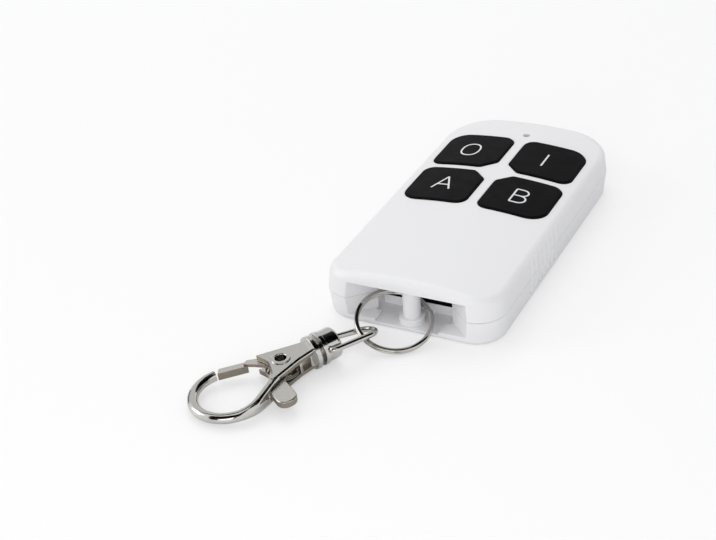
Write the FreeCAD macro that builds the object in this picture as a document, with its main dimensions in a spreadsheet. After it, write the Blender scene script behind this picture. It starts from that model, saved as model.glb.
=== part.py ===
import FreeCAD, Part
import math
import os
import re
from types import SimpleNamespace

import Sketcher
from FreeCAD import Placement, Rotation, Vector

# Key-fob remote control with a split ring and a trigger snap.
# Millimetres. Origin: centre of the case's back, on the table. +X across the case, +Y away from
# the ring bay, +Z up out of the keys. The snap is drawn in its own frame: +X from its neck
# towards the hook, +Y towards the thumb tab, +Z out of the upper cheek.

SIZES = {
    # Case outline
    "case_width": 35.0,
    "case_length": 69.6,
    "case_height": 10.7,
    "parting_height": 5.0,
    "parting_gap": 0.06,
    "parting_round": 0.15,
    "crown_drop": 1.65,
    "near_corner": 5.8,
    "far_corner": 9.0,
    "upper_draft": 5.0,
    "lower_draft": 5.0,
    "shoulder_round": 1.5,
    "base_round": 0.9,
    "wall": 1.3,
    "roof": 1.4,
    "floor": 1.4,
    # Ring bay
    "bay_side_land": 5.5,
    "bay_half_throat": 7.4,
    "bay_flare": 4.3,
    "bay_depth": 7.0,
    "bay_wall": 1.3,
    "bay_lintel": 2.35,
    "bay_floor": 1.6,
    "throat_floor": 1.0,
    "throat_step": 3.5,
    "relief_half_width": 6.3,
    "relief_floor": 1.1,
    "slot_sill": 2.8,
    "post_setback": 3.0,
    "post_radius": 1.65,
    "post_foot_radius": 2.4,
    "post_foot_height": 2.4,
    "post_top_gap": 0.05,
    # Finger grooves on both long sides
    "groove_count": 7,
    "groove_pitch": 2.17,
    "groove_setback": 24.8,
    "groove_radius": 0.6,
    "groove_depth": 0.26,
    "groove_low": 1.6,
    "groove_top_land": 1.4,
    # Keys
    "key_length": 13.7,
    "key_side_land": 2.75,
    "key_far_land": 9.75,
    "key_bridge_across": 2.3,
    "key_bridge_along": 1.9,
    "key_inner_cut": 2.8,
    "key_outer_corner": 3.8,
    "key_side_corner": 2.3,
    "key_cut_corner": 1.2,
    "key_edge_round": 0.36,
    "key_proud": 0.38,
    "key_gap": 0.15,
    "key_flange": 0.5,
    "key_flange_thickness": 0.5,
    "key_stud_radius": 1.6,
    "key_travel": 0.25,
    "web_gap": 0.1,
    "web_margin": 0.9,
    "web_wall_gap": 0.55,
    "web_foot_radius": 0.8,
    "lamp_far_land": 7.2,
    "lamp_hole_radius": 0.75,
    # Inside the case
    "flange_headroom": 0.3,
    "board_thickness": 1.0,
    "board_gap": 0.5,
    "board_corner": 6.5,
    "board_setback": 7.5,
    "switch_width": 4.5,
    "switch_height": 0.7,
    "plunger_radius": 1.0,
    "plunger_spare": 0.05,
    "plunger_depth": 0.2,
    "plunger_gap": 0.05,
    "lamp_radius": 0.9,
    "lamp_flange_radius": 1.2,
    "lamp_flange_height": 0.5,
    "lamp_recess": 1.2,
    "chip_setback": 7.0,
    "chip_length": 4.9,
    "chip_width": 3.9,
    "chip_height": 1.2,
    "chip_lead_pitch": 1.27,
    "chip_lead_width": 0.4,
    "chip_lead_reach": 1.05,
    "chip_lead_thickness": 0.25,
    "saw_side_land": 4.7,
    "saw_width": 5.0,
    "saw_length": 3.5,
    "saw_height": 1.1,
    "cell_radius": 10.0,
    "cell_cap_radius": 8.9,
    "cell_cap_height": 0.4,
    "cell_setback": 15.0,
    "clip_thickness": 0.3,
    "clip_width": 5.0,
    "clip_side_gap": 1.0,
    "contact_gap": 0.02,
    "leaf_thickness": 0.16,
    "leaf_gap": 0.1,
    "leaf_length": 8.0,
    "leaf_width": 4.0,
    "standoff_radius": 1.2,
    "standoff_side_land": 2.2,
    "standoff_near_land": 2.4,
    "standoff_far_land": 13.0,
    # Case screws
    "screw_side_land": 4.5,
    "screw_setback": 3.9,
    "screw_radius": 0.8,
    "screw_reach": 5.6,
    "screw_head_radius": 1.7,
    "screw_head_height": 1.0,
    "screw_recess": 1.2,
    "screw_slot": 0.45,
    "screw_cross": 1.92,
    "screw_slot_depth": 0.5,
    "screw_clearance": 0.12,
    "pad_radius": 2.6,
    "pad_height": 2.4,
    "boss_radius": 2.0,
    "pilot_gap": 0.03,
    # Split ring
    "ring_radius": 6.8,
    "ring_wire_width": 0.8,
    "ring_wire_height": 0.5,
    "ring_turn_gap": 0.06,
    "ring_turns": 1.95,
    "ring_lead": 4.49,
    "ring_heading": -111.9,
    "ring_tilt": 21.6,
    "ring_tilt_heading": -49.5,
    "ring_end_heading": 60.0,
    "rest_gap": 0.02,
    # Place of the snap on the table
    "snap_across": -10.78,
    "snap_ahead": 15.15,
    "snap_heading": -120.0,
    "snap_pitch": 4.7,
    "ferrule_roll": 18.8,
    "bail_pitch": -8.0,
    # Neck and ferrule
    "collar_radius": 3.1,
    "collar_thickness": 0.9,
    "collar_round": 0.12,
    "neck_radius": 1.55,
    "neck_gap": 0.8,
    "neck_head_radius": 2.0,
    "neck_head_thickness": 0.6,
    "turning_gap": 0.05,
    "ferrule_radius": 2.9,
    "ferrule_length": 3.7,
    "ferrule_round": 0.7,
    # Bail
    "bail_wire_radius": 0.55,
    "bail_reach": 10.48,
    "bail_half_width": 2.45,
    "bail_side_gap": 0.54,
    "bail_pin_depth": 0.6,
    "bail_pin_inset": 2.6,
    "bail_bend": 0.65,
    # Cheeks, arm and hook
    "cheek_half_height": 2.05,
    "cheek_thickness": 1.05,
    "cheek_start": 2.0,
    "cheek_root_far": 1.05,
    "cheek_root_near": 1.95,
    "cheek_end": 9.35,
    "cheek_end_across": 3.7,
    "cheek_scoop": 8.6,
    "cheek_scoop_across": 0.6,
    "cheek_throat": 9.75,
    "cheek_throat_across": 2.55,
    "cheek_bend": 4.4,
    "cheek_bend_across": 2.55,
    "cheek_shoulder": 9.3,
    "cheek_shoulder_across": 3.95,
    "cheek_scoop_round": 2.4,
    "cheek_throat_round": 1.4,
    "cheek_near_round": 0.5,
    "slot_end": 12.9,
    "hook_centre": 17.4,
    "hook_radius": 6.38,
    "hook_rod_radius": 0.95,
    "hook_round_angle": 75.0,
    "hook_tip_angle": 97.5,
    "arm_angle": 25.6,
    "arm_length": 5.4,
    "arm_half_width": 0.75,
    # Gate lever, rivet and spring
    "pivot_place": 6.6,
    "lever_half_height": 0.9,
    "hub_radius": 2.4,
    "link_thickness": 0.6,
    "bar_thickness": 1.45,
    "bar_tip": 16.28,
    "bar_tip_across": 5.85,
    "bar_outer_tip": 15.43,
    "bar_outer_tip_across": 6.95,
    "bar_heel": 11.15,
    "bar_heel_across": 4.0,
    "bar_outer_heel": 10.7,
    "bar_outer_heel_across": 5.2,
    "link_outer": 9.3,
    "link_outer_across": 4.4,
    "link_inner": 10.3,
    "link_inner_across": 3.2,
    "tab_reach": 9.9,
    "tab_base": 3.9,
    "tab_right": 8.5,
    "tab_left": 12.25,
    "tab_lean": 0.7,
    "tab_end_round": 1.7,
    "tab_round": 0.3,
    "tab_thickness": 1.4,
    "rivet_radius": 1.25,
    "rivet_bore": 1.0,
    "rivet_mouth_round": 0.25,
    "rivet_rim_round": 0.12,
    "rivet_rim_radius": 1.8,
    "rivet_rim_height": 0.2,
    "rivet_gap": 0.03,
    "spring_radius": 2.9,
    "spring_wire": 0.3,
    "spring_pitch": 0.36,
    "spring_turns": 2.25,
    "spring_lift": 0.07,
}

KEYS = {"off": (-1, 1), "on": (1, 1), "a": (-1, -1), "b": (1, -1)}
SIDES = {"left": -1, "right": 1}

NEAR_END = "(-case_length/2)"
BAY_BACK = "(-case_length/2 + bay_depth)"
CAVITY_FRONT = "(-case_length/2 + bay_depth + bay_wall)"
POST_PLACE = "(-case_length/2 + post_setback)"
BAY_ROOF = "(case_height - bay_lintel)"
CROWN_RADIUS = "((case_width^2/4 + crown_drop^2)/(2*crown_drop))"
FLANGE_BASE = "(case_height - crown_drop - roof + flange_headroom - key_flange_thickness)"
FLANGE_TOP = f"({FLANGE_BASE} + key_flange_thickness)"
STUD_BASE = f"({FLANGE_BASE} - key_travel)"
SWITCH_TOP = f"({STUD_BASE} - key_travel - plunger_spare)"
BOARD_TOP = f"({SWITCH_TOP} - switch_height)"
BOARD_BASE = f"({BOARD_TOP} - board_thickness)"
CLIP_BASE = "(floor + contact_gap)"
CELL_BASE = "(floor + clip_thickness + 2*contact_gap)"
CELL_TOP = f"({BOARD_BASE} - leaf_thickness - leaf_gap)"
PAD_TOP = "(pad_height)"
COLLAR_FACE = "(-neck_gap)"
BAY_HALF_MOUTH = "(case_width/2 - bay_side_land)"
KEY_WIDTH = "(case_width/2 - key_side_land - key_bridge_across/2)"
KEY_ACROSS = f"({KEY_WIDTH}/2 + key_bridge_across/2)"
KEY_ALONG = "(key_length/2 + key_bridge_along/2)"
KEY_FIELD = "(case_length/2 - key_far_land - key_length - key_bridge_along/2)"
LAMP_PLACE = "(case_length/2 - lamp_far_land)"
BOARD_NEAR = f"({CAVITY_FRONT} + board_setback)"
BOARD_FAR = "(case_length/2 - wall - board_gap)"
BOARD_HALF = "(case_width/2 - wall - board_gap)"
CHIP_PLACE = f"({BOARD_NEAR} + chip_setback)"
CELL_PLACE = f"({BOARD_NEAR} + cell_setback)"
STANDOFF_ACROSS = "(case_width/2 - wall - standoff_side_land)"
STANDOFF_PLACES = {
    "near": f"({BOARD_NEAR} + standoff_near_land)",
    "far": f"({BOARD_FAR} - standoff_far_land)",
}
SCREW_ACROSS = "(case_width/2 - screw_side_land)"
SCREW_PLACE = f"({CAVITY_FRONT} + screw_setback)"


doc = FreeCAD.newDocument("remote_control")
sheet = doc.addObject("Spreadsheet::Sheet", "Sizes")
for row, (alias, number) in enumerate(SIZES.items(), start=1):
    sheet.set(f"A{row}", alias.replace("_", " "))
    sheet.set(f"B{row}", str(number))
    sheet.setAlias(f"B{row}", alias)
doc.recompute()
size = SimpleNamespace(**{alias: float(sheet.get(alias)) for alias in SIZES})
nodes = []


def bound(text):
    """Turns words that are size names into references to the sheet."""
    return re.sub(r"[a-z][a-z_]*", lambda m: "Sizes." + m[0] if m[0] in SIZES else m[0], text)


def bind(thing, **links):
    """Binds properties of an object to expressions over the sheet."""
    for name, text in links.items():
        thing.setExpression(name.replace("__", "."), bound(text))


def put(thing, x="0", y="0", z="0"):
    """Places an object by three expressions."""
    for axis, text in zip("xyz", (x, y, z)):
        thing.setExpression("Placement.Base." + axis, bound(text))
    return thing


def as_node(thing, name):
    """Marks an object as a finished piece and labels it with its name."""
    thing.Label = name
    nodes.append(thing)
    return thing


def block(name, x, y, z):
    """Makes a box between (low, high) expressions along each axis."""
    thing = doc.addObject("Part::Box", name)
    for side, (low, high) in zip(("Length", "Width", "Height"), (x, y, z)):
        thing.setExpression(side, bound(f"({high}) - ({low})"))
    return put(thing, x[0], y[0], z[0])


def rod(name, x, y, low, high, radius):
    """Makes an upright cylinder."""
    thing = doc.addObject("Part::Cylinder", name)
    bind(thing, Radius=radius, Height=f"({high}) - ({low})")
    return put(thing, x, y, low)


def lying_rod(name, start, end, radius):
    """Makes a cylinder along +X, as the snap's turned pieces lie in their own frame."""
    thing = doc.addObject("Part::Cylinder", name)
    thing.Placement = Placement(Vector(), Rotation(Vector(0, 1, 0), 90))
    bind(thing, Radius=radius, Height=f"({end}) - ({start})")
    return put(thing, start)


def fuse(name, pieces):
    """Joins pieces into one."""
    thing = doc.addObject("Part::MultiFuse", name)
    thing.Shapes = pieces
    return thing


def cut(name, base, tools):
    """Cuts tools out of a base."""
    tool = tools[0] if len(tools) == 1 else fuse(name + "_tools", tools)
    thing = doc.addObject("Part::Cut", name)
    thing.Base = base
    thing.Tool = tool
    return thing


def edge_numbers(shape, test):
    """Lists the numbers of the edges that pass a test."""
    return [number for number, edge in enumerate(shape.Edges, start=1) if test(edge)]


def soften(name, base, radius, test):
    """Rounds the edges of a base that pass a test."""
    doc.recompute()
    thing = doc.addObject("Part::Fillet", name)
    thing.Base = base
    thing.Edges = [(number, radius, radius) for number in edge_numbers(base.Shape, test)]
    return thing


def profile(body, name, points, height="0", role="XY_Plane"):
    """Adds a closed sketch to a body, each corner bound to a pair of expressions."""
    sketch = body.newObject("Sketcher::SketchObject", name)
    plane = next(item for item in body.Origin.OriginFeatures if item.Role == role)
    sketch.AttachmentSupport = [(plane, "")]
    sketch.MapMode = "FlatFace"
    sketch.setExpression("AttachmentOffset.Base.z", bound(height))
    count = len(points)
    turns = [k * math.tau / count for k in range(count)]
    corners = [Vector(math.cos(turn), math.sin(turn)) for turn in turns]
    sides = [Part.LineSegment(corners[k], corners[(k + 1) % count]) for k in range(count)]
    sketch.addGeometry(sides, False)
    for k in range(count):
        sketch.addConstraint(Sketcher.Constraint("Coincident", k, 2, (k + 1) % count, 1))
    for k, corner in enumerate(points):
        for kind, text in zip(("DistanceX", "DistanceY"), corner):
            number = sketch.addConstraint(Sketcher.Constraint(kind, -1, 1, k, 1, 1.0))
            sketch.setExpression(f"Constraints[{number}]", bound(text))
    return sketch


def slab(name, points, low, thickness, draft=None, down=False):
    """Makes a body: a closed outline padded up, or down, with an optional draft."""
    body = doc.addObject("PartDesign::Body", name)
    sketch = profile(body, name + "_outline", points, low)
    pad = body.newObject("PartDesign::Pad", name + "_pad")
    pad.Profile = sketch
    pad.Reversed = down
    bind(pad, Length=thickness)
    if draft:
        bind(pad, TaperAngle="-" + draft)
    return body


def round_corners(body, corners, radius):
    """Rounds a body's upright edges that start at the given corners, all with one radius."""
    doc.recompute()

    def at_corner(edge):
        ends = [vertex.Point for vertex in edge.Vertexes]
        if len(ends) < 2 or abs(ends[0].z - ends[1].z) < 0.3 * edge.Length:
            return False
        return any(math.hypot(end.x - x, end.y - y) < 0.02 for end in ends for x, y in corners)

    before = body.Tip
    rounding = body.newObject("PartDesign::Fillet", f"{body.Name}_round{len(body.Group)}")
    rounding.Base = (before, [f"Edge{number}" for number in edge_numbers(before.Shape, at_corner)])
    bind(rounding, Radius=radius)
    body.Tip = rounding
    return body


def turned(name, points):
    """Makes a body of revolution about +X from a closed outline of (along, radius) points."""
    body = doc.addObject("PartDesign::Body", name)
    sketch = profile(body, name + "_outline", points)
    spin = body.newObject("PartDesign::Revolution", name + "_spin")
    spin.Profile = sketch
    spin.ReferenceAxis = (sketch, ["H_Axis"])
    spin.Angle = 360.0
    return body


def crown_tool(name, offset):
    """Makes the long cylinder whose upper side is the case's crowned top, moved out by offset."""
    thing = doc.addObject("Part::Cylinder", name)
    thing.Placement = Placement(Vector(), Rotation(Vector(1, 0, 0), -90))
    bind(thing, Radius=f"{CROWN_RADIUS} + {offset}", Height="2*case_length")
    return put(thing, "0", "-case_length", f"case_height - {CROWN_RADIUS}")


def crowned(name, base, offset):
    """Keeps what lies under the crowned surface."""
    thing = doc.addObject("Part::MultiCommon", name)
    thing.Shapes = [base, crown_tool(name + "_crown", offset)]
    return thing


def case_slab(name, inset, near_end, low, thickness, draft, near_radius, down=False):
    """Makes the case's outline, moved in by inset, as a drafted slab with rounded corners."""
    half, far_end = f"(case_width/2 - {inset})", f"(case_length/2 - {inset})"
    points = [("-" + half, near_end), (half, near_end), (half, far_end), ("-" + half, far_end)]
    body = slab(name, points, low, thickness, draft, down)
    doc.recompute()
    box = body.Shape.BoundBox
    ends = [(x, y) for x in (box.XMin, box.XMax) for y in (box.YMin, box.YMax)]
    round_corners(body, [end for end in ends if end[1] < 0], near_radius)
    round_corners(body, [end for end in ends if end[1] > 0], f"far_corner - {inset}")
    return body


def bay_slab(name, low, high):
    """Makes the ring bay's plan: a mouth that flares in to a square throat."""
    mouth, throat = BAY_HALF_MOUTH, "bay_half_throat"
    out, flare = f"{NEAR_END} - 2*near_corner", f"{NEAR_END} + bay_flare"
    right = [(mouth, out), (mouth, NEAR_END), (throat, flare), (throat, BAY_BACK)]
    left = [("-" + x, y) for x, y in reversed(right)]
    return slab(name, right + left, low, f"({high}) - ({low})")


def throat_block(name, low, high, front=f"{BAY_BACK} - throat_step", back=BAY_BACK):
    """Makes a box as wide as the bay's throat."""
    return block(name, ("-bay_half_throat", "bay_half_throat"), (front, back), (low, high))


def groove_tools(name, upright, low, high):
    """Makes the row of round grooves on both long sides, leaning with the side's draft."""
    thing = doc.addObject("Part::Feature", name)
    lean = math.radians(upright)
    reach = size.case_width / 2 + size.groove_radius - size.groove_depth
    grooves = []
    for side in SIDES.values():
        for k in range(int(size.groove_count)):
            middle = size.groove_setback - size.case_length / 2
            y = middle + (k - (size.groove_count - 1) / 2) * size.groove_pitch
            axis = Vector(-side * math.sin(lean), 0, math.cos(lean))
            start = Vector(side * reach, y, size.parting_height) + axis * (low - size.parting_height)
            grooves.append(Part.makeCylinder(size.groove_radius, high - low, start, axis))
    thing.Shape = Part.makeCompound(grooves)
    return thing


def key_middle(key):
    """Gives the plan place of a key's middle."""
    across, along = KEYS[key]
    return f"({across}*{KEY_ACROSS})", f"({KEY_FIELD} + {along}*{KEY_ALONG})"


def key_slab(name, key, margin, low, high):
    """Makes one key's outline, moved out by margin: a square with its inner corner cut off."""
    across, along = KEYS[key]
    half_width, half_length = f"({KEY_WIDTH}/2 + {margin})", f"(key_length/2 + {margin})"
    corner_cut = f"(key_inner_cut + {margin}*(2 - sqrt(2)))"
    middle_x, middle_y = key_middle(key)
    local = [
        (f"{corner_cut} - {half_width}", f"-{half_length}"),
        (half_width, f"-{half_length}"),
        (half_width, half_length),
        (f"-{half_width}", half_length),
        (f"-{half_width}", f"{corner_cut} - {half_length}"),
    ]
    points = [(f"{middle_x} + {across}*({x})", f"{middle_y} + {along}*({y})") for x, y in local]
    body = slab(name, points, low, f"({high}) - ({low})")
    doc.recompute()
    corners = [tuple(vertex.Point)[:2] for vertex in body.Shape.Vertexes]
    middle = body.Shape.BoundBox.Center
    far = max(abs(x - middle.x) for x, _ in corners) - 0.01
    deep = max(abs(y - middle.y) for _, y in corners) - 0.01

    def outward(corner):
        return ((corner[0] - middle.x) * across > far) + ((corner[1] - middle.y) * along > deep)

    def full(corner):
        return abs(corner[0] - middle.x) > far and abs(corner[1] - middle.y) > deep

    sides = [c for c in corners if outward(c) == 1 and full(c)]
    round_corners(body, [c for c in corners if outward(c) == 2], f"key_outer_corner + {margin}")
    round_corners(body, sides, f"key_side_corner + {margin}")
    round_corners(body, [c for c in corners if not full(c)], f"key_cut_corner + {margin}")
    return body


def make_top_cover():
    """The upper shell: crowned, with key openings, lamp hole, bay roof and screw bosses."""
    rise = "case_height - parting_height"
    edge_height = "parting_height + parting_gap/2"
    outer = case_slab("top_outer", "0", NEAR_END, edge_height, rise, "upper_draft", "near_corner")
    top = crowned("top_crowned", outer, "0")
    low_top = size.case_height - size.crown_drop - 1.5
    top = soften("top_shoulder", top, size.shoulder_round, lambda edge: edge.BoundBox.ZMin > low_top)
    face = size.parting_height + size.parting_gap
    top = soften(
        "top_parting", top, size.parting_round, lambda edge: edge.BoundBox.ZMax < face
    )
    hollow = case_slab(
        "top_hollow", "wall", CAVITY_FRONT, "parting_height - parting_gap", rise, "upper_draft", "wall"
    )
    tools = [crowned("top_cavity", hollow, "(-roof)")]
    tools.append(bay_slab("top_bay", "parting_height - 1", BAY_ROOF))
    over = "case_height + 1"
    for key in KEYS:
        tools.append(key_slab("opening_" + key, key, "key_gap", "parting_height + 1", over))
    tools.append(rod("lamp_hole", "0", LAMP_PLACE, "parting_height", over, "lamp_hole_radius"))
    groove_top = size.case_height - size.groove_top_land
    tools.append(groove_tools("upper_grooves", size.upper_draft, size.parting_height - 1, groove_top))
    shell = cut("top_shell", top, tools)
    bosses, pilots = [], []
    boss_low, boss_top = f"{PAD_TOP} + contact_gap", "case_height - crown_drop"
    pilot_top, pilot_radius = "screw_recess + screw_reach + 0.3", "screw_radius + pilot_gap"
    for side, sign in SIDES.items():
        place = (f"{sign}*{SCREW_ACROSS}", SCREW_PLACE)
        bosses.append(rod("boss_" + side, *place, boss_low, boss_top, "boss_radius"))
        pilots.append(rod("pilot_" + side, *place, PAD_TOP, pilot_top, pilot_radius))
    as_node(cut("top_bored", fuse("top_bossed", [shell] + bosses), pilots), "top_cover")


def make_bottom_cover():
    """The lower shell: bay floor, ring post, screw pads and board standoffs."""
    outer = case_slab(
        "base_outer", "0", NEAR_END, "parting_height - parting_gap/2", "parting_height - parting_gap/2",
        "lower_draft", "near_corner", down=True,
    )
    face = size.parting_height - size.parting_gap
    base = soften(
        "base_parting", outer, size.parting_round, lambda edge: edge.BoundBox.ZMin > face
    )
    base = soften("base_rounded", base, size.base_round, lambda edge: edge.BoundBox.ZMax < 0.01)
    over = "parting_height + 1"
    hollow = case_slab(
        "base_hollow", "wall", CAVITY_FRONT, over, f"({over}) - floor", "lower_draft", "wall", down=True
    )
    tools = [hollow, bay_slab("base_bay", "bay_floor", over)]
    tools.append(throat_block("throat", "throat_floor", over))
    tools.append(throat_block("slot_opening", "slot_sill", over, BAY_BACK, f"{CAVITY_FRONT} + wall"))
    tools.append(
        block(
            "relief", ("-relief_half_width", "relief_half_width"),
            (f"{NEAR_END} - 1", f"{BAY_BACK} - throat_step"), ("relief_floor", over),
        )
    )
    groove_top = size.parting_height + 1
    tools.append(groove_tools("lower_grooves", -size.lower_draft, size.groove_low, groove_top))
    shell = cut("base_shell", base, tools)
    post_top = f"{BAY_ROOF} - post_top_gap"
    added = [
        rod("post", "0", POST_PLACE, "throat_floor/2", post_top, "post_radius"),
        rod("post_foot", "0", POST_PLACE, "throat_floor/2", "post_foot_height", "post_foot_radius"),
    ]
    holes = []
    head_room, shank_room = "screw_head_radius + screw_clearance", "screw_radius + 2*screw_clearance"
    for side, sign in SIDES.items():
        place = (f"{sign}*{SCREW_ACROSS}", SCREW_PLACE)
        added.append(rod("pad_" + side, *place, "floor/2", PAD_TOP, "pad_radius"))
        holes.append(rod("recess_" + side, *place, "-1", "screw_recess", head_room))
        holes.append(rod("passage_" + side, *place, "0", f"{PAD_TOP} + 1", shank_room))
        for end, y in STANDOFF_PLACES.items():
            added.append(
                rod(
                    f"standoff_{end}_{side}", f"{sign}*{STANDOFF_ACROSS}", y,
                    "floor/2", f"{BOARD_BASE} - contact_gap", "standoff_radius",
                )
            )
    as_node(cut("base_bored", fuse("base_fitted", [shell] + added), holes), "bottom_cover")


def make_screws():
    """Two pan-head screws with a cross recess, put in from the back."""
    pieces = []
    seat = "screw_recess"
    head_face = "screw_recess - screw_head_height"
    for side, sign in SIDES.items():
        x, y = f"{sign}*{SCREW_ACROSS}", SCREW_PLACE
        solid = fuse(
            "screw_solid_" + side,
            [
                rod("screw_head_" + side, x, y, head_face, seat, "screw_head_radius"),
                rod("screw_shank_" + side, x, y, seat, f"{seat} + screw_reach", "screw_radius"),
            ],
        )
        slots = []
        half_slot, half_cross = "screw_slot/2", "screw_cross/2"
        for name, reach, width in (("wide", half_cross, half_slot), ("long", half_slot, half_cross)):
            slots.append(
                block(
                    f"slot_{name}_{side}",
                    (f"{x} - {reach}", f"{x} + {reach}"),
                    (f"{y} - {width}", f"{y} + {width}"),
                    ("-1", f"{head_face} + screw_slot_depth"),
                )
            )
        pieces.append(cut("screw_" + side, solid, slots))
    group = doc.addObject("Part::Compound", "screw_pair")
    group.Links = pieces
    as_node(group, "case_screws")


def make_keys():
    """Four keys, each with a flange that holds it under the roof and a stud on its switch."""
    low_top = size.case_height - size.crown_drop
    for key in KEYS:
        tall = key_slab(f"key_{key}_outline", key, "0", FLANGE_BASE, "case_height + 2")
        raised = crowned(f"key_{key}_crowned", tall, "key_proud")
        cap = soften(
            f"key_{key}_cap", raised, size.key_edge_round, lambda edge: edge.BoundBox.ZMin > low_top
        )
        flange = key_slab(f"key_{key}_flange", key, "key_flange", FLANGE_BASE, FLANGE_TOP)
        x, y = key_middle(key)
        stud = rod(f"key_{key}_stud", x, y, STUD_BASE, FLANGE_TOP, "key_stud_radius")
        as_node(fuse(f"key_{key}_piece", [cap, flange, stud]), "key_" + key)


def make_web():
    """The silicone frame round the keys, on four feet that stand on the board."""
    half = "(case_width/2 - wall - web_wall_gap)"
    reach = f"({KEY_ALONG} + key_length/2 + key_flange + web_gap + web_margin)"
    sheet_block = block(
        "web_sheet", ("-" + half, half), (f"{KEY_FIELD} - {reach}", f"{KEY_FIELD} + {reach}"),
        (FLANGE_BASE, FLANGE_TOP),
    )
    margin, over = "(key_flange + web_gap)", f"{FLANGE_TOP} + 1"
    holes = [key_slab("web_hole_" + key, key, margin, STUD_BASE, over) for key in KEYS]
    feet = []
    foot_way = f"(key_outer_corner + {margin} + web_foot_radius + contact_gap)"
    spread = f"({foot_way}/sqrt(2) - key_outer_corner)"
    for side, sign in SIDES.items():
        for end, way in (("near", -1), ("far", 1)):
            x = f"{sign}*({KEY_ACROSS} + {KEY_WIDTH}/2 + {spread})"
            y = f"{KEY_FIELD} + {way}*({KEY_ALONG} + key_length/2 + {spread})"
            feet.append(rod(f"web_foot_{side}_{end}", x, y, BOARD_TOP, FLANGE_TOP, "web_foot_radius"))
    as_node(fuse("web_piece", [cut("web_frame", sheet_block, holes)] + feet), "keypad_web")


def make_board():
    """The circuit board, which follows the case's inside with a small gap."""
    left = "-" + BOARD_HALF
    points = [(left, BOARD_NEAR), (BOARD_HALF, BOARD_NEAR), (BOARD_HALF, BOARD_FAR), (left, BOARD_FAR)]
    board = slab("board_piece", points, BOARD_BASE, "board_thickness")
    doc.recompute()
    box = board.Shape.BoundBox
    round_corners(board, [(box.XMin, box.YMax), (box.XMax, box.YMax)], "board_corner")
    as_node(board, "circuit_board")


def make_switches():
    """Under each key a switch housing and its plunger."""
    for key in KEYS:
        x, y = key_middle(key)
        half = "switch_width/2"
        housing = block(
            f"switch_{key}_block",
            (f"{x} - {half}", f"{x} + {half}"),
            (f"{y} - {half}", f"{y} + {half}"),
            (BOARD_TOP, SWITCH_TOP),
        )
        well = rod(
            f"switch_{key}_well", x, y, f"{SWITCH_TOP} - plunger_depth - key_travel - plunger_gap",
            f"{SWITCH_TOP} + 1", "plunger_radius + plunger_gap",
        )
        as_node(cut(f"switch_{key}_housing", housing, [well]), "switch_base_" + key)
        plunger_low = f"{SWITCH_TOP} - plunger_depth"
        plunger = rod(f"plunger_{key}", x, y, plunger_low, STUD_BASE, "plunger_radius")
        as_node(plunger, "switch_plunger_" + key)


def make_board_parts():
    """The lamp, the encoder chip and the resonator on the board's upper side."""
    flange_top = f"{BOARD_TOP} + lamp_flange_height"
    barrel_top = "case_height - lamp_recess - lamp_radius"
    dome = doc.addObject("Part::Sphere", "lamp_dome")
    bind(dome, Radius="lamp_radius")
    put(dome, "0", LAMP_PLACE, barrel_top)
    lamp = [
        rod("lamp_flange", "0", LAMP_PLACE, BOARD_TOP, flange_top, "lamp_flange_radius"),
        rod("lamp_barrel", "0", LAMP_PLACE, BOARD_TOP, barrel_top, "lamp_radius"),
        dome,
    ]
    as_node(fuse("lamp", lamp), "status_led")
    leads = []
    for sign in (-1, 1):
        for k in range(4):
            along = f"{k - 1.5}*chip_lead_pitch"
            edge = f"{CHIP_PLACE} + {sign}*(chip_width/2 + chip_lead_reach/2 - chip_lead_width/2)"
            leads.append(
                block(
                    f"lead_{k}_{'near' if sign < 0 else 'far'}",
                    (f"{along} - chip_lead_width/2", f"{along} + chip_lead_width/2"),
                    (f"{edge} - chip_lead_reach/2", f"{edge} + chip_lead_reach/2"),
                    (BOARD_TOP, f"{BOARD_TOP} + chip_lead_thickness"),
                )
            )
    chip = block(
        "chip_body", ("-chip_length/2", "chip_length/2"),
        (f"{CHIP_PLACE} - chip_width/2", f"{CHIP_PLACE} + chip_width/2"),
        (BOARD_TOP, f"{BOARD_TOP} + chip_height"),
    )
    as_node(fuse("chip", [chip] + leads), "encoder_chip")
    saw = block(
        "saw_can",
        (f"{BOARD_HALF} - saw_side_land - saw_width", f"{BOARD_HALF} - saw_side_land"),
        (f"{CHIP_PLACE} - saw_length/2", f"{CHIP_PLACE} + saw_length/2"),
        (BOARD_TOP, f"{BOARD_TOP} + saw_height"),
    )
    as_node(saw, "saw_resonator")


def make_battery():
    """The coin cell with the clip under it and the leaf between it and the board."""
    x_side, half = "(cell_radius + clip_side_gap)", "clip_width/2"
    rows = (f"{CELL_PLACE} - {half}", f"{CELL_PLACE} + {half}")
    clip_top = f"{CLIP_BASE} + clip_thickness"
    arms = [
        block(
            "clip_arm_" + side,
            (f"{sign}*{x_side} - clip_thickness/2", f"{sign}*{x_side} + clip_thickness/2"),
            rows,
            (CLIP_BASE, BOARD_BASE),
        )
        for side, sign in SIDES.items()
    ]
    bridge = block("clip_bridge", ("-" + x_side, x_side), rows, (CLIP_BASE, clip_top))
    as_node(fuse("clip", [bridge] + arms), "battery_clip")
    can = rod("cell_can", "0", CELL_PLACE, CELL_BASE, f"{CELL_TOP} - cell_cap_height", "cell_radius")
    cap = rod("cell_cap", "0", CELL_PLACE, CELL_BASE, CELL_TOP, "cell_cap_radius")
    as_node(fuse("cell", [can, cap]), "coin_cell")
    leaf = block(
        "leaf", ("-leaf_length/2", "leaf_length/2"),
        (f"{CELL_PLACE} - leaf_width/2", f"{CELL_PLACE} + leaf_width/2"),
        (f"{BOARD_BASE} - leaf_thickness", BOARD_BASE),
    )
    as_node(leaf, "battery_leaf")


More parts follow.
